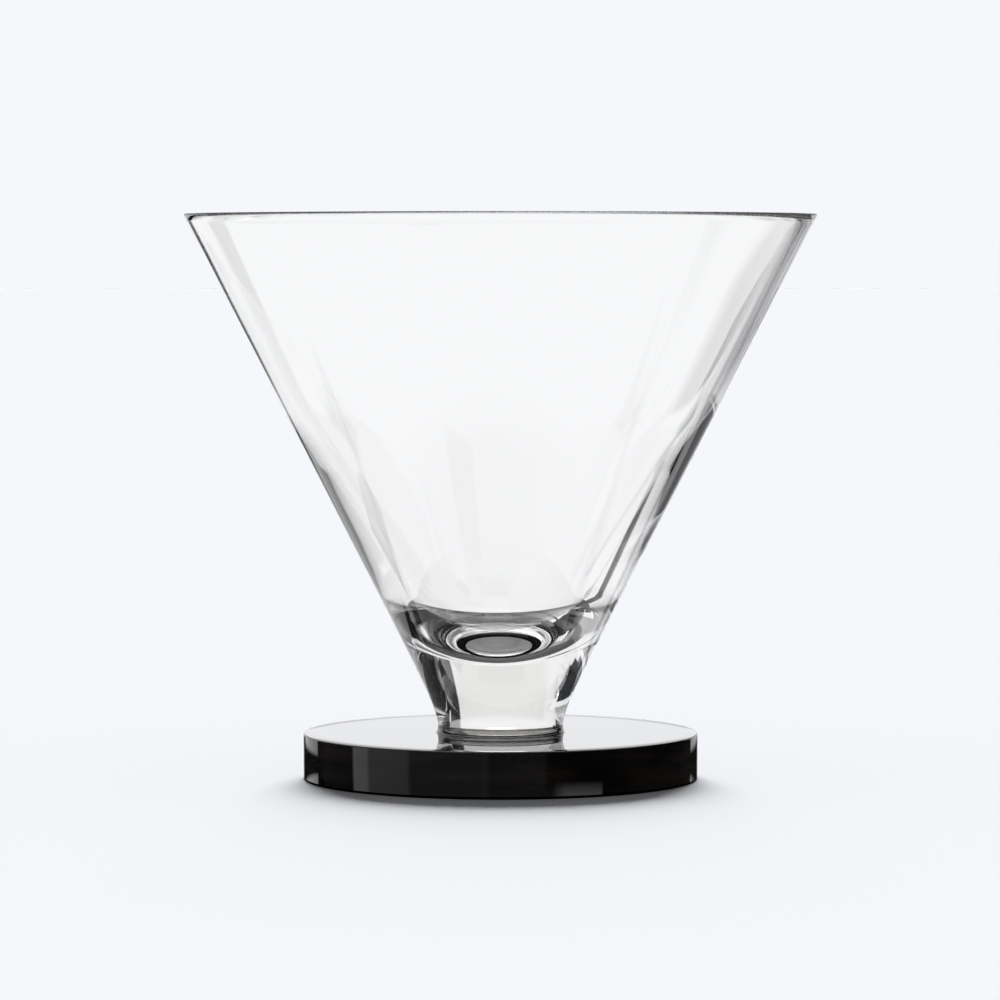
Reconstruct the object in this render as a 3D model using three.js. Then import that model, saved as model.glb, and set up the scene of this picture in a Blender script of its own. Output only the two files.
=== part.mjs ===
// A martini glass: a clear V-shaped bowl with a short solid foot, bonded to a thick disc of black
// glass. Millimetres, +Z up. The origin is the middle of the disc's underside.
import * as THREE from 'three';

// Round the axis: a multiple of four, so that the box is the same size along X and Y.
const SEGMENTS = 80;
// Along each curved stretch of an outline.
const EDGE_STEPS = 3;
const DISH_STEPS = 6;
const FOOT_STEPS = 6;
const WALL_STEPS = 6;
const FLOOR_STEPS = 9;

// Base disc
const DISC_RADIUS = 37.5;
const DISC_HEIGHT = 8.8;
const DISC_TOP_EDGE = 0.5;
const DISC_BOTTOM_EDGE = 0.5;
const RECESS_RADIUS = 8.0;
const RECESS_DEPTH = 1.2;

// Clear join between the disc and the foot, with a fillet that climbs the foot's side
const BOND_HEIGHT = 0.5;
const BOND_RADIUS = 12.3;
const FILLET_HEIGHT = 1.6;
const FILLET_STEPS = 3;

// Bowl, outside: a straight cone that bends into the nearly upright end of the foot
const GLASS_HEIGHT = 107.2;
const RIM_RADIUS = 60.0;
const CONE_SLOPE = 0.513;
const FOOT_WAIST = 10.9;
const FOOT_BEND = 2.4;
const FOOT_EDGE = 0.4;
const CONE_IS_STRAIGHT_AT = 30.0;

// Bowl, inside: the wall thickens downwards, and a slightly pointed ball that touches it rounds off
// the floor
const WALL = 1.5;
const WALL_THICKENS_AT = 67.8;
const WALL_THICKENING = 0.113;
const WALL_BEND = 5.0;
const WALL_BENDS_UP_TO = 80.0;
const RIM_ROUND = 0.5;
const FLOOR_EDGE_HEIGHT = 36.7;
const FLOOR_POINT = 0.3;

const FOOT_BOTTOM = DISC_HEIGHT + BOND_HEIGHT;
const FILLET_TOP = DISC_HEIGHT + FILLET_HEIGHT;

function material(color, roughness, opacity) {
  return new THREE.MeshStandardMaterial({
    color,
    roughness,
    metalness: 0,
    transparent: opacity < 1,
    opacity,
  });
}

// Points of a quarter-round edge, from angle `from` to `to` (radians) round a centre.
function arc(radius, height, size, from, to) {
  const points = [];
  for (let step = 0; step <= EDGE_STEPS; step += 1) {
    const angle = from + ((to - from) * step) / EDGE_STEPS;
    points.push([radius + size * Math.cos(angle), height + size * Math.sin(angle)]);
  }
  return points;
}

// A closed body of revolution about Z from (radius, height) points that run from the axis at the
// bottom, up the outside, and back to the axis at the top.
function turned(name, points, finish) {
  const outline = points.map(([radius, height]) => new THREE.Vector2(radius, height));
  const geometry = new THREE.LatheGeometry(outline, SEGMENTS);
  geometry.rotateX(Math.PI / 2);
  const mesh = new THREE.Mesh(geometry, finish);
  mesh.name = name;
  return mesh;
}

function baseDisc() {
  const low = DISC_BOTTOM_EDGE;
  const high = DISC_TOP_EDGE;
  // The recess is a shallow spherical dish.
  const dish = [];
  for (let step = 0; step <= DISH_STEPS; step += 1) {
    const share = step / DISH_STEPS;
    dish.push([RECESS_RADIUS * share, RECESS_DEPTH * (1 - share * share)]);
  }
  const outline = [
    ...dish,
    ...arc(DISC_RADIUS - low, low, low, -Math.PI / 2, 0),
    ...arc(DISC_RADIUS - high, DISC_HEIGHT - high, high, 0, Math.PI / 2),
    [0, DISC_HEIGHT],
  ];
  return turned('base_disc', outline, material(0x0b0a0a, 0.05, 1));
}

// Nearly 0 while `past` is negative and nearly `past` above 0, with a smooth bend between them.
function bent(past, bend) {
  return (past + Math.hypot(past, bend)) / 2;
}

function outerRadius(height) {
  const past = RIM_RADIUS - CONE_SLOPE * (GLASS_HEIGHT - height) - FOOT_WAIST;
  return Math.min(FOOT_WAIST + bent(past, FOOT_BEND), RIM_RADIUS);
}

function innerRadius(height) {
  const thicker = WALL_THICKENING * bent(WALL_THICKENS_AT - height, WALL_BEND);
  return outerRadius(height) - WALL - thicker;
}

// The foot's end: from the edge of its flat underside, round the edge, to the fillet's tip.
function footEnd() {
  const edge = FOOT_BOTTOM + FOOT_EDGE;
  return [
    ...arc(outerRadius(edge) - FOOT_EDGE, edge, FOOT_EDGE, -Math.PI / 2, 0),
    [outerRadius(FILLET_TOP), FILLET_TOP],
  ];
}

function bond() {
  const tip = outerRadius(FILLET_TOP);
  const fillet = [];
  for (let step = 0; step < FILLET_STEPS; step += 1) {
    const share = step / FILLET_STEPS;
    fillet.push([
      tip + (BOND_RADIUS - tip) * (1 - share) ** 2,
      DISC_HEIGHT + FILLET_HEIGHT * share ** 1.5,
    ]);
  }
  const outline = [[0, DISC_HEIGHT], ...fillet, ...footEnd().reverse(), [0, FOOT_BOTTOM]];
  return turned('bond', outline, material(0xe8edf0, 0.08, 0.4));
}

// The outside above the fillet, up to the rim.
function outside() {
  const points = [];
  for (let step = 1; step <= FOOT_STEPS; step += 1) {
    const share = (step / FOOT_STEPS) ** 1.5;
    const height = FILLET_TOP + (CONE_IS_STRAIGHT_AT - FILLET_TOP) * share;
    points.push([outerRadius(height), height]);
  }
  points.push([RIM_RADIUS, GLASS_HEIGHT]);
  return points;
}

// The inside, from the rim down to the axis.
function inside() {
  const points = [
    [RIM_RADIUS - WALL + RIM_ROUND, GLASS_HEIGHT],
    [RIM_RADIUS - WALL, GLASS_HEIGHT - RIM_ROUND],
  ];
  for (let step = 0; step < WALL_STEPS; step += 1) {
    const share = step / WALL_STEPS;
    const height = WALL_BENDS_UP_TO + (FLOOR_EDGE_HEIGHT - WALL_BENDS_UP_TO) * share;
    points.push([innerRadius(height), height]);
  }
  // The floor is a ball mixed with a bowl-shaped parabola, and both touch the wall all round.
  const edge = innerRadius(FLOOR_EDGE_HEIGHT);
  const slope = (innerRadius(FLOOR_EDGE_HEIGHT + 0.01) - edge) / 0.01;
  const ball = edge * Math.hypot(1, slope);
  const centre = FLOOR_EDGE_HEIGHT + slope * edge;
  const lean = Math.PI / 2 - Math.atan(slope);
  for (let step = 0; step <= FLOOR_STEPS; step += 1) {
    const angle = lean * (1 - step / FLOOR_STEPS);
    const radius = step === FLOOR_STEPS ? 0 : ball * Math.sin(angle);
    const round = centre - ball * Math.cos(angle);
    const pointed = FLOOR_EDGE_HEIGHT - (edge ** 2 - radius ** 2) / (2 * edge * slope);
    points.push([radius, (1 - FLOOR_POINT) * round + FLOOR_POINT * pointed]);
  }
  return points;
}

function bowl() {
  const outline = [[0, FOOT_BOTTOM], ...footEnd(), ...outside(), ...inside()];
  return turned('bowl', outline, material(0xf4f7f8, 0.02, 0.35));
}

const glass = new THREE.Group();
glass.add(baseDisc());
glass.add(bond());
glass.add(bowl());

export default glass;
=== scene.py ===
"""A martini glass: a clear V-shaped bowl with a solid foot, bonded to a thick disc of black glass."""

import math

import bpy
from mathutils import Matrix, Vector, noise


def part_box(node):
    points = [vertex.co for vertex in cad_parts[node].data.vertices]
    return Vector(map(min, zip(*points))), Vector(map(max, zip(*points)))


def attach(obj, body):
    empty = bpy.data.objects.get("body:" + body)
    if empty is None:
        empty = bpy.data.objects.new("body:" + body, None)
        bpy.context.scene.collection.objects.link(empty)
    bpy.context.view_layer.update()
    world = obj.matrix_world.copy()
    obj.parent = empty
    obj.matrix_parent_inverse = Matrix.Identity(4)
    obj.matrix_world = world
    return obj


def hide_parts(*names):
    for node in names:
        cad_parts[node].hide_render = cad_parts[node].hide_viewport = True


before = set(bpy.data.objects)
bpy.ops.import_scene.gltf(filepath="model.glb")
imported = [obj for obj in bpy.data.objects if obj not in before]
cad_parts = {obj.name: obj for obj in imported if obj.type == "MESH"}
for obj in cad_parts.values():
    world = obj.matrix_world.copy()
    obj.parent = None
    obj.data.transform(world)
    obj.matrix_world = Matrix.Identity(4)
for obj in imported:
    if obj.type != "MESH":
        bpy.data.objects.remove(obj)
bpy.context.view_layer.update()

MM = 0.001

# ---------------------------------------------------------------- sizes, in metres, from the frame
_disc_low, disc_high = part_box("base_disc")
_bond_low, bond_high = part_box("bond")
bowl_low, bowl_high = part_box("bowl")

DISC_RADIUS = disc_high[0]
DISC_TOP = disc_high[2]
FOOT_BOTTOM = bowl_low[2]
RIM_HEIGHT = bowl_high[2]
RIM_RADIUS = bowl_high[0]
BOND_OUTER = bond_high[0]
FILLET_TOP = bond_high[2]

# Sizes that the frame's boxes don't give
DISC_TOP_EDGE = 0.3 * MM
DISC_BOTTOM_EDGE = 0.5 * MM
RECESS_RADIUS = 8.0 * MM
RECESS_DEPTH = 1.2 * MM
CONE_SLOPE = 0.513
FOOT_WAIST = 10.9 * MM
FOOT_BEND = 2.4 * MM
FOOT_EDGE = 0.1 * MM
WALL = 1.5 * MM
RIM_ARC_OUT = 0.3 * MM
RIM_ARC_IN = 0.8 * MM
RIM_BAND = 0.3 * MM
CONE_TOP = RIM_HEIGHT - 0.5 * MM
WALL_TOP = RIM_HEIGHT - 0.6 * MM
WALL_THICKENS_AT = 67.8 * MM
WALL_THICKENING = 0.113
WALL_BEND = 5.0 * MM
FLOOR_EDGE_HEIGHT = 36.7 * MM
FLOOR_POINT = 0.3
CAVITY_OFFSET_LOW = 0.4 * MM
CAVITY_OFFSET_HIGH = 0.9 * MM
CAVITY_OFFSET_IS_HIGH_AT = 60 * MM
WAVE_INSIDE = 0.05 * MM
WAVE_OUTSIDE = 0.025 * MM
FILM = 0.02 * MM
HOLLOW_RADIUS = 9.8 * MM
HOLLOW_DEPTH = 0.3 * MM

AROUND = 256


def bent(past, bend):
    """Nearly 0 while past is negative, nearly past above 0, and a smooth bend between them."""
    return (past + math.hypot(past, bend)) / 2


def outer_radius(height):
    """The cone from the rim down, turning smoothly into the nearly upright end of the foot."""
    past = RIM_RADIUS - CONE_SLOPE * (RIM_HEIGHT - height) - FOOT_WAIST
    return FOOT_WAIST + bent(past, FOOT_BEND)


def inner_radius(height):
    thicker = WALL_THICKENING * bent(WALL_THICKENS_AT - height, WALL_BEND)
    return outer_radius(height) - WALL - thicker


# The cavity's floor is a ball mixed with a parabola, and both touch the wall all round.
FLOOR_EDGE_RADIUS = inner_radius(FLOOR_EDGE_HEIGHT)
WALL_SLOPE = (inner_radius(FLOOR_EDGE_HEIGHT + 0.01 * MM) - FLOOR_EDGE_RADIUS) / (0.01 * MM)
FLOOR_BALL = FLOOR_EDGE_RADIUS * math.hypot(1, WALL_SLOPE)
BALL_CENTRE = FLOOR_EDGE_HEIGHT + WALL_SLOPE * FLOOR_EDGE_RADIUS
WALL_LEAN = math.pi / 2 - math.atan(WALL_SLOPE)


# ---------------------------------------------------------------- meshes
def lathe(name, outline, shift=None, wave=None, ring_shaped=False):
    """A closed body turned about Z from (radius, height, side) points. Radius 0 makes a pole."""
    verts, faces, rings = [], [], []
    for radius, height, side in outline:
        if radius == 0:
            centre = shift(height, side) if shift else 0.0
            rings.append([len(verts)])
            verts.append((centre, 0.0, height))
            continue
        ring = []
        centre = shift(height, side) if shift else 0.0
        for step in range(AROUND):
            angle = 2 * math.pi * step / AROUND
            r = radius + (wave(angle, height, side) if wave else 0.0)
            ring.append(len(verts))
            verts.append((centre + r * math.cos(angle), r * math.sin(angle), height))
        rings.append(ring)
    pairs = list(zip(rings, rings[1:]))
    if ring_shaped:
        pairs.append((rings[-1], rings[0]))
    for low, high in pairs:
        for step in range(AROUND):
            after = (step + 1) % AROUND
            if len(low) == 1:
                faces.append((low[0], high[after], high[step]))
            elif len(high) == 1:
                faces.append((low[step], low[after], high[0]))
            else:
                faces.append((low[step], low[after], high[after], high[step]))
    mesh = bpy.data.meshes.new(name)
    mesh.from_pydata(verts, [], faces)
    mesh.validate()
    mesh.shade_smooth()
    piece = bpy.data.objects.new(name, mesh)
    bpy.context.scene.collection.objects.link(piece)
    return piece


def arc(radius, height, size, start, stop, steps=8):
    """Points of a quarter-round edge, by angle in degrees round (radius, height)."""
    points = []
    for step in range(steps + 1):
        angle = math.radians(start + (stop - start) * step / steps)
        points.append((radius + size * math.cos(angle), height + size * math.sin(angle)))
    return points


def line(a, b, steps):
    """Points from a to b, without a."""
    return [
        (a[0] + (b[0] - a[0]) * s / steps, a[1] + (b[1] - a[1]) * s / steps)
        for s in range(1, steps + 1)
    ]


def sided(points, side):
    return [(r, z, side) for r, z in points]


def bowl_outline():
    low = DISC_TOP + FILM
    # The underside is hollowed a little, so only the ring round the hollow touches the disc.
    outside = []
    for step in range(13):
        share = step / 12
        outside.append((HOLLOW_RADIUS * share, low + HOLLOW_DEPTH * (1 - share**2)))
    edge = low + FOOT_EDGE
    outside += arc(outer_radius(edge) - FOOT_EDGE, edge, FOOT_EDGE, -90, 0)
    for step in range(1, 121):
        height = edge + (CONE_TOP - edge) * (step / 120) ** 1.5
        outside.append((outer_radius(height), height))
    # The fire-polished rim: a tight arc outside and a wide one inside, both touching the cone.
    lean = math.degrees(math.atan(CONE_SLOPE))
    tilt = math.sin(math.radians(lean))
    upright = math.cos(math.radians(lean))
    centre = RIM_RADIUS - RIM_ARC_OUT * (1 + tilt) / upright
    outside += arc(centre, RIM_HEIGHT - RIM_ARC_OUT, RIM_ARC_OUT, -lean, 90)
    centre = RIM_RADIUS - WALL + RIM_ARC_IN * (1 - tilt) / upright
    inside = arc(centre, RIM_HEIGHT - RIM_ARC_IN, RIM_ARC_IN, 90, 180 - lean, 12)
    for step in range(100):
        height = WALL_TOP + (FLOOR_EDGE_HEIGHT - WALL_TOP) * step / 100
        inside.append((inner_radius(height), height))
    inside += floor_outline()
    return sided(outside, 0) + sided(inside, 1)


def floor_outline():
    """The cavity's floor, from where it touches the wall to the axis."""
    points = []
    steps = 56
    edge = FLOOR_EDGE_RADIUS
    for step in range(steps + 1):
        angle = WALL_LEAN * (1 - step / steps)
        radius = 0.0 if step == steps else FLOOR_BALL * math.sin(angle)
        ball = BALL_CENTRE - FLOOR_BALL * math.cos(angle)
        parabola = FLOOR_EDGE_HEIGHT - (edge**2 - radius**2) / (2 * edge * WALL_SLOPE)
        points.append((radius, (1 - FLOOR_POINT) * ball + FLOOR_POINT * parabola))
    return points


def cavity_shift(height, side):
    """The blown cavity sits a little to one side of the outside's axis."""
    if not side:
        return 0.0
    share = (height - FLOOR_EDGE_HEIGHT) / (CAVITY_OFFSET_IS_HIGH_AT - FLOOR_EDGE_HEIGHT)
    share = max(0.0, min(1.0, share))
    return -(CAVITY_OFFSET_LOW + (CAVITY_OFFSET_HIGH - CAVITY_OFFSET_LOW) * share)


def hand_wave(angle, height, side):
    """Slow unevenness of blown glass: a few hundredths of a millimetre."""
    where = Vector((math.cos(angle) * 1.6, math.sin(angle) * 1.6, height / (22 * MM) + 7 * side))
    size = WAVE_INSIDE if side else WAVE_OUTSIDE
    near_rim = max(0.0, min(1.0, (RIM_HEIGHT - height) / (4 * MM)))
    near_foot = max(0.0, min(1.0, (height - FILLET_TOP) / (3 * MM)))
    return size * (noise.noise(where) - 0.35) * near_rim * near_foot


def disc_outline():
    outline = []
    for step in range(17):
        share = step / 16
        outline.append((RECESS_RADIUS * share, RECESS_DEPTH * (1 - share * share)))
    outline += line((RECESS_RADIUS, 0.0), (DISC_RADIUS - DISC_BOTTOM_EDGE, 0.0), 8)[:-1]
    outline += arc(DISC_RADIUS - DISC_BOTTOM_EDGE, DISC_BOTTOM_EDGE, DISC_BOTTOM_EDGE, -90, 0)
    outline += arc(DISC_RADIUS - DISC_TOP_EDGE, DISC_TOP - DISC_TOP_EDGE, DISC_TOP_EDGE, 0, 90)
    outline += line((DISC_RADIUS - DISC_TOP_EDGE, DISC_TOP), (BOND_OUTER, DISC_TOP), 8)
    outline.append((0.0, DISC_TOP))
    return sided(outline, 0)


def bond_outline():
    """The fillet of clear adhesive round the foot: a ring with a hollow outer face."""
    steps = 12
    low = DISC_TOP + FILM
    tip = outer_radius(FILLET_TOP) + 1.5 * FILM
    wide = BOND_OUTER - FILM
    outline = [(outer_radius(low) + FILM, low)]
    for step in range(steps + 1):
        share = step / steps
        height = low + (FILLET_TOP - low) * share**1.5
        outline.append((tip + (wide - tip) * (1 - share) ** 2, height))
    for step in range(steps):
        height = FILLET_TOP + (low - FILLET_TOP) * step / steps
        outline.append((outer_radius(height) + FILM, height))
    return sided(outline, 0)


# ---------------------------------------------------------------- materials
def new_material(name):
    material = bpy.data.materials.new(name)
    material.use_nodes = True
    nodes, links = material.node_tree.nodes, material.node_tree.links
    shader = nodes["Principled BSDF"]
    return material, nodes, links, shader


def bumped(nodes, links, shader, scale, distance, detail=2.0, stretch=(1, 1, 1)):
    """A fine height from noise in the piece's own coordinates."""
    where = nodes.new("ShaderNodeTexCoord")
    mapping = nodes.new("ShaderNodeMapping")
    mapping.inputs["Scale"].default_value = stretch
    texture = nodes.new("ShaderNodeTexNoise")
    texture.inputs["Scale"].default_value = scale
    texture.inputs["Detail"].default_value = detail
    bump = nodes.new("ShaderNodeBump")
    bump.inputs["Strength"].default_value = 1.0
    bump.inputs["Distance"].default_value = distance
    links.new(where.outputs["Object"], mapping.inputs["Vector"])
    links.new(mapping.outputs["Vector"], texture.inputs["Vector"])
    links.new(texture.outputs["Fac"], bump.inputs["Height"])
    links.new(bump.outputs["Normal"], shader.inputs["Normal"])
    return texture


def between(nodes, links, texture, socket, low, high):
    """Drives a number from a noise texture, from low to high."""
    spread = nodes.new("ShaderNodeMapRange")
    spread.inputs["From Min"].default_value = 0.35
    spread.inputs["From Max"].default_value = 0.65
    spread.inputs["To Min"].default_value = low
    spread.inputs["To Max"].default_value = high
    links.new(texture.outputs["Fac"], spread.inputs["Value"])
    links.new(spread.outputs["Result"], socket)


def glass(name, tint):
    """A fully transmissive glass of the given tint."""
    material, nodes, links, shader = new_material(name)
    shader.inputs["Base Color"].default_value = (*tint, 1)
    shader.inputs["IOR"].default_value = 1.5
    shader.inputs["Transmission Weight"].default_value = 1.0
    return material, nodes, links, shader


def clear_glass():
    """Smooth glass, with the faint upright waves of blowing: 20 mm wide and 0.03 mm high."""
    material, nodes, links, shader = glass("clear_glass", (1.0, 1.0, 1.0))
    shader.inputs["Roughness"].default_value = 0.0
    bumped(nodes, links, shader, 50.0, 0.03 * MM, stretch=(1, 1, 0.3))
    return material


def ground_glass(name, smoothest, roughest, clarity):
    """Glass that was ground and then polished, but not to a mirror. The grain is 0.5 mm."""
    material, nodes, links, shader = glass(name, (1.0, 1.0, 1.0))
    shader.inputs["Transmission Weight"].default_value = clarity
    texture = bumped(nodes, links, shader, 2000.0, 0.001 * MM)
    between(nodes, links, texture, shader.inputs["Roughness"], smoothest, roughest)
    return material


def clear_bond():
    """Adhesive with a dark tint, uneven by 2 mm. The tint is painted shade: it stands in for the
    black glass seen through the clear adhesive.
    """
    # The dark tint is painted shade, not the adhesive's own colour.
    material, nodes, links, shader = glass("clear_bond", (0.4, 0.39, 0.38))
    texture = bumped(nodes, links, shader, 500.0, 0.02 * MM)
    between(nodes, links, texture, shader.inputs["Roughness"], 0.02, 0.08)
    return material


def black_glass():
    """Black glass with faint brown bands painted into its colour, 3 mm high and 20 mm long, running
    round it: painted reflections that stand in for the uneven reflections of its polished sides.
    """
    material, nodes, links, shader = new_material("black_glass")
    shader.inputs["IOR"].default_value = 1.5
    shader.inputs["Roughness"].default_value = 0.02
    where = nodes.new("ShaderNodeTexCoord")
    mapping = nodes.new("ShaderNodeMapping")
    mapping.inputs["Scale"].default_value = (1, 1, 7)
    painted_reflection = nodes.new("ShaderNodeTexNoise")
    painted_reflection.inputs["Scale"].default_value = 50.0
    painted_reflection.inputs["Detail"].default_value = 4.0
    painted_reflection.inputs["Distortion"].default_value = 0.6
    # The darker end is the glass's own black; the brown end is painted reflection.
    ramp = nodes.new("ShaderNodeValToRGB")
    ramp.color_ramp.elements[0].position = 0.42
    ramp.color_ramp.elements[0].color = (0.004, 0.0035, 0.0035, 1)
    ramp.color_ramp.elements[1].position = 0.66
    ramp.color_ramp.elements[1].color = (0.018, 0.015, 0.0125, 1)
    links.new(where.outputs["Object"], mapping.inputs["Vector"])
    links.new(mapping.outputs["Vector"], painted_reflection.inputs["Vector"])
    links.new(painted_reflection.outputs["Fac"], ramp.inputs["Fac"])
    links.new(ramp.outputs["Color"], shader.inputs["Base Color"])
    return material


def contact_and_painted_shade_black():
    """Black that reflects nothing: where adhesive wets the glass, and painted shade on the disc's
    flat underside and lower rounded edge, in place of the shadowed floor they would reflect.
    """
    material, nodes, links, shader = new_material("black_glass_contact_and_painted_shade")
    shader.inputs["Base Color"].default_value = (0.004, 0.004, 0.004, 1)
    shader.inputs["Roughness"].default_value = 1.0
    shader.inputs["Specular IOR Level"].default_value = 0.0
    return material


# ---------------------------------------------------------------- the glass
# Matt black for the wetted contacts, also used as painted shade on the disc's underside and lower
# edge.
bonded_and_painted_shade_black = contact_and_painted_shade_black()

bowl = lathe("bowl_glass", bowl_outline(), shift=cavity_shift, wave=hand_wave)
bowl.data.materials.append(clear_glass())
bowl.data.materials.append(bonded_and_painted_shade_black)
bowl.data.materials.append(ground_glass("clear_glass_hollow", 0.02, 0.07, 0.78))
bowl.data.materials.append(ground_glass("clear_glass_rim", 0.3, 0.5, 1.0))
for face in bowl.data.polygons:
    centre = face.center
    if centre.z < FOOT_BOTTOM and face.normal.z < -0.9:
        face.material_index = 2 if math.hypot(centre.x, centre.y) < HOLLOW_RADIUS else 1
    elif centre.z > RIM_HEIGHT - RIM_BAND:
        face.material_index = 3
bowl.visible_shadow = False
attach(bowl, "root")
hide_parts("bowl")

bond = lathe("bond_fillet", bond_outline(), ring_shaped=True)
bond.data.materials.append(clear_bond())
bond.data.materials.append(bonded_and_painted_shade_black)
for face in bond.data.polygons:
    if face.normal.z < -0.9:
        face.material_index = 1
bond.visible_shadow = False
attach(bond, "root")
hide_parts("bond")

disc = lathe("base_disc_glass", disc_outline())
disc.data.materials.append(black_glass())
disc.data.materials.append(bonded_and_painted_shade_black)
for face in disc.data.polygons:
    centre = face.center
    if centre.z > DISC_TOP - 0.01 * MM and math.hypot(centre.x, centre.y) < BOND_OUTER:
        face.material_index = 1
    elif centre.z < DISC_BOTTOM_EDGE and math.hypot(centre.x, centre.y) > RECESS_RADIUS:
        # Painted shade: the flat underside and its rounded lower edge reflect nothing, in place of
        # the dark, shadowed floor that they would reflect. The recess keeps the black glass.
        face.material_index = 1
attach(disc, "root")
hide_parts("base_disc")

# ---------------------------------------------------------------- camera
CAMERA_DISTANCE = 0.914
CAMERA_HEIGHT = 0.0988
AIM_HEIGHT = 0.053
FOCAL_LENGTH = 173.5

camera_data = bpy.data.cameras.new("camera")
camera_data.lens = FOCAL_LENGTH
camera_data.sensor_width = 36.0
camera_data.clip_start = 0.05
camera_data.clip_end = 60.0
camera = bpy.data.objects.new("camera", camera_data)
camera.location = (-0.0001, -CAMERA_DISTANCE, CAMERA_HEIGHT)
aim = Vector((-0.0001, 0.0, AIM_HEIGHT)) - camera.location
camera.rotation_euler = aim.to_track_quat("-Z", "Y").to_euler()
bpy.context.scene.collection.objects.link(camera)
bpy.context.scene.camera = camera

# ---------------------------------------------------------------- studio
BACKDROP = (0.913, 0.930, 0.965)
PLAIN_WHITE = (0.93, 0.935, 0.945)


class Nodes:
    """Short names for the nodes of one tree."""

    def __init__(self, tree):
        self.tree = tree

    def new(self, kind, **values):
        node = self.tree.nodes.new(kind)
        for key, value in values.items():
            setattr(node, key, value)
        return node

    def put(self, socket, value):
        if hasattr(value, "is_output"):
            self.tree.links.new(value, socket)
        else:
            socket.default_value = value

    def math(self, operation, a, b=0.0, clamp=False):
        node = self.new("ShaderNodeMath", operation=operation, use_clamp=clamp)
        self.put(node.inputs[0], a)
        self.put(node.inputs[1], b)
        return node.outputs[0]

    def band(self, value, low, high, soft):
        """1 between low and high, falling to 0 over soft on each side."""
        up = self.math("DIVIDE", self.math("SUBTRACT", value, low - soft), soft, clamp=True)
        down = self.math("DIVIDE", self.math("SUBTRACT", high + soft, value), soft, clamp=True)
        return self.math("MULTIPLY", up, down)

    def mix(self, factor, a, b):
        node = self.new("ShaderNodeMix", data_type="RGBA")
        self.put(node.inputs["Factor"], factor)
        for socket, value in ((node.inputs[6], a), (node.inputs[7], b)):
            if isinstance(value, tuple):
                value = (*value, 1.0)
            self.put(socket, value)
        return node.outputs[2]


# The cards round the glass, which only reflection and refraction show: azimuth from, to, and
# elevation from, to (degrees, azimuth 0 behind the glass and positive to the right), softness, and
# colour. Later cards lie over earlier ones.
CARDS = [
    ("underneath", -180, 180, -90, -70, 14.0, (0.15, 0.15, 0.15)),
    ("front_left", 192, 246, -12, 28, 12.0, (0.16, 0.16, 0.16)),
    ("front_right", 150, 186, -12, 34, 8.0, (0.1, 0.1, 0.1)),
    ("front_top", 142, 218, 62, 76, 4.0, (0.4, 0.4, 0.41)),
    ("right_front_flag", 114, 152, -8, 32, 3.0, (0.01, 0.01, 0.01)),
    ("right_front_top", 140, 158, 34, 43, 1.5, (0.01, 0.01, 0.01)),
    ("overhead", -75, 65, 50, 80, 6.0, (1.15, 1.15, 1.17)),
    ("overhead_top", -180, 180, 80, 90, 4.0, (1.5, 1.5, 1.52)),
    ("back", -30, 27, 18, 31, 4.0, (0.83, 0.825, 0.81)),
    ("overhead_back", -20, 18, 42, 66, 3.0, (2.6, 2.6, 2.65)),
    ("left_floor", -72, -62, -24, -18, 1.5, (2.6, 2.6, 2.64)),
    ("right_flag", 56, 118, -23, 24, 1.5, (0.008, 0.008, 0.008)),
    ("right_flag_high", 70, 118, 20, 29, 1.5, (0.008, 0.008, 0.008)),
    ("right_flag_near", 44, 58, -16, 17, 1.5, (0.008, 0.008, 0.008)),
    ("right_flag_inner", 34, 46, -13, 2, 1.5, (0.015, 0.015, 0.015)),
    ("right_flag_top", 29.5, 41, 17, 44, 1.5, (0.03, 0.03, 0.03)),
    ("right_flag_corner", 38, 50, 29, 44, 1.5, (0.02, 0.02, 0.02)),
    ("right_grey", 30, 43, 8, 16, 2.0, (0.42, 0.42, 0.43)),
    ("left_grey", -124, -90, -14, 33, 3.0, (0.45, 0.45, 0.46)),
    ("left_flag", -88, -54, -22, 22, 1.5, (0.025, 0.027, 0.03)),
    ("left_flag_top", -72, -60, 34, 41, 2.0, (0.3, 0.3, 0.3)),
    ("left_flag_inner", -54, -47, -16, 2, 1.5, (0.008, 0.008, 0.008)),
    ("left_flag_half", -55, -48, 2, 13, 1.5, (0.04, 0.04, 0.045)),
    ("left_front_floor", -124, -104, -28, -16, 2.0, (0.02, 0.02, 0.02)),
    ("left_window", -96, -86, -24, 5, 2.0, PLAIN_WHITE),
    ("strip", -9, 9, 4.9, 6.9, 0.6, (1.4, 1.41, 1.43)),
    ("side_strip", -98, -82, 4.9, 6.9, 0.6, (1.4, 1.41, 1.43)),
    ("right_line_a", 16, 29, -15, -7, 2.5, (0.28, 0.28, 0.29)),
    ("right_line_b", 9, 15, -7, -3, 1.5, (0.65, 0.65, 0.66)),
    ("right_edge_c", 32, 39, -26, -20.5, 1.0, (0.02, 0.02, 0.02)),
    ("right_edge_d", 22, 33, -38, -27, 1.5, (0.06, 0.06, 0.06)),
    ("left_line", -19.5, -13, -9.5, -4.5, 0.7, (0.05, 0.05, 0.05)),
    ("right_high_flag", 98, 114, 55, 65, 1.5, (0.02, 0.02, 0.02)),
    ("right_low_flag", 79, 88, -46, -41, 1.5, (0.03, 0.03, 0.03)),
    ("left_low_line", -50, -12, -7, -5.4, 0.5, (0.01, 0.01, 0.01)),
    ("right_low_line", 12, 36, -7, -5.4, 0.5, (0.01, 0.01, 0.01)),
    ("left_edge_c", -71, -58, -43, -34.5, 1.0, (0.02, 0.02, 0.02)),
]


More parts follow.
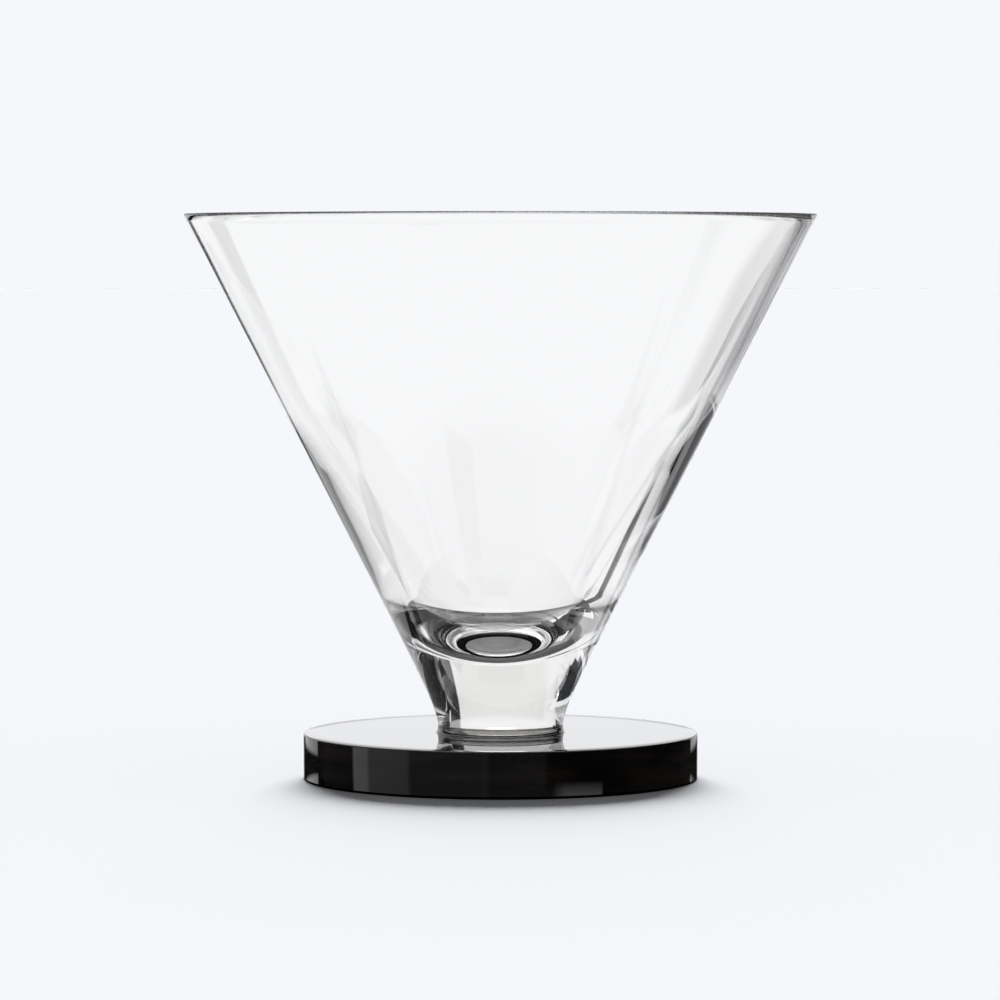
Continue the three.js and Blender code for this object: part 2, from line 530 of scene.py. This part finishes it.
def studio():
    world = bpy.data.worlds.new("studio")
    world.use_nodes = True
    tree = world.node_tree
    tree.nodes.clear()
    n = Nodes(tree)
    where = n.new("ShaderNodeTexCoord").outputs["Generated"]
    split = n.new("ShaderNodeSeparateXYZ")
    tree.links.new(where, split.inputs[0])
    x, y, z = split.outputs
    azimuth = n.math("MULTIPLY", n.math("ARCTAN2", x, y), 180 / math.pi)
    around = n.math("ADD", azimuth, n.math("MULTIPLY", n.math("LESS_THAN", azimuth, 0), 360))
    elevation = n.math("MULTIPLY", n.math("ARCSINE", z), 180 / math.pi)
    colour = PLAIN_WHITE
    for _name, az0, az1, el0, el1, soft, tint in CARDS:
        across = n.band(around if az1 > 180 else azimuth, az0, az1, soft)
        card = n.math("MULTIPLY", across, n.band(elevation, el0, el1, soft))
        colour = n.mix(card, colour, tint)
    path = n.new("ShaderNodeLightPath")
    colour = n.mix(path.outputs["Is Camera Ray"], colour, BACKDROP)
    background = n.new("ShaderNodeBackground")
    tree.links.new(colour, background.inputs["Color"])
    output = n.new("ShaderNodeOutputWorld")
    tree.links.new(background.outputs[0], output.inputs["Surface"])
    return world


def floor():
    size = 15.0
    mesh = bpy.data.meshes.new("floor")
    corners = [(-size, -size, 0), (size, -size, 0), (size, size, 0), (-size, size, 0)]
    mesh.from_pydata(corners, [], [(0, 1, 2, 3)])
    plane = bpy.data.objects.new("floor", mesh)
    bpy.context.scene.collection.objects.link(plane)
    material, nodes, links, shader = new_material("floor")
    shader.inputs["Base Color"].default_value = (*BACKDROP, 1)
    shader.inputs["Roughness"].default_value = 1.0
    shader.inputs["Specular IOR Level"].default_value = 0.0
    mesh.materials.append(material)
    plane.visible_transmission = False
    plane.visible_glossy = False


# Flat pieces along the curve of each flag
FLAG_STEPS = 12

# Dark flags so near the glass that the foot and the bowl see them in different directions. Only
# the glass sees them, and it doesn't see the floor, so one of them can be lower than the floor.
# Distance from the axis (mm), azimuth from, to (degrees), height from, to (mm).
FLAGS = [
    ("near_flag_right_low", 220, 41, 57, 60, 148),
    ("near_flag_right_middle", 220, 55, 72, 60, 170),
    ("near_flag_right_high", 220, 70, 104, 60, 190),
    ("near_flag_left", 100, -70, -50, -38, -18),
]


def flags():
    material = bpy.data.materials.new("flag_cloth")
    material.use_nodes = True
    shader = material.node_tree.nodes["Principled BSDF"]
    shader.inputs["Base Color"].default_value = (0.0, 0.0, 0.0, 1)
    shader.inputs["Specular IOR Level"].default_value = 0.0
    shader.inputs["Emission Color"].default_value = (0.012, 0.012, 0.012, 1)
    shader.inputs["Emission Strength"].default_value = 1.0
    for name, distance, az0, az1, low, high in FLAGS:
        verts, faces = [], []
        for step in range(FLAG_STEPS + 1):
            azimuth = math.radians(az0 + (az1 - az0) * step / FLAG_STEPS)
            across = distance * MM * math.sin(azimuth)
            behind = distance * MM * math.cos(azimuth)
            verts += [(across, behind, low * MM), (across, behind, high * MM)]
            if step:
                at = 2 * step
                faces.append((at - 2, at, at + 1, at - 1))
        mesh = bpy.data.meshes.new(name)
        mesh.from_pydata(verts, [], faces)
        mesh.materials.append(material)
        flag = bpy.data.objects.new(name, mesh)
        bpy.context.scene.collection.objects.link(flag)
        flag.visible_camera = False
        flag.visible_diffuse = False
        flag.visible_shadow = False


# name, tilt from overhead towards the back (degrees), angular size, share of the floor's light
LAMPS = [
    ("back_softbox", 70, 42, 0.85),
    ("top_softbox", 0, 150, 0.15),
]


def lamps():
    for name, tilt, size, share in LAMPS:
        data = bpy.data.lights.new(name, "SUN")
        data.angle = math.radians(size)
        data.energy = math.pi * share / math.cos(math.radians(tilt))
        lamp = bpy.data.objects.new(name, data)
        # A sun shines along its -Z: tilted so that it comes from behind and above.
        lamp.rotation_euler = (-math.radians(tilt), 0, 0)
        lamp.visible_glossy = False
        lamp.visible_transmission = False
        bpy.context.scene.collection.objects.link(lamp)


scene = bpy.context.scene
scene.world = studio()
scene.world.cycles_visibility.diffuse = False
scene.world.cycles.sampling_method = "NONE"
floor()
flags()
lamps()
scene.view_settings.view_transform = "Standard"
scene.view_settings.look = "None"
scene.cycles.max_bounces = 24
scene.cycles.transmission_bounces = 24
scene.cycles.glossy_bounces = 16
scene.cycles.transparent_max_bounces = 16
scene.cycles.caustics_reflective = False
scene.cycles.caustics_refractive = False
scene.cycles.sample_clamp_indirect = 6.0
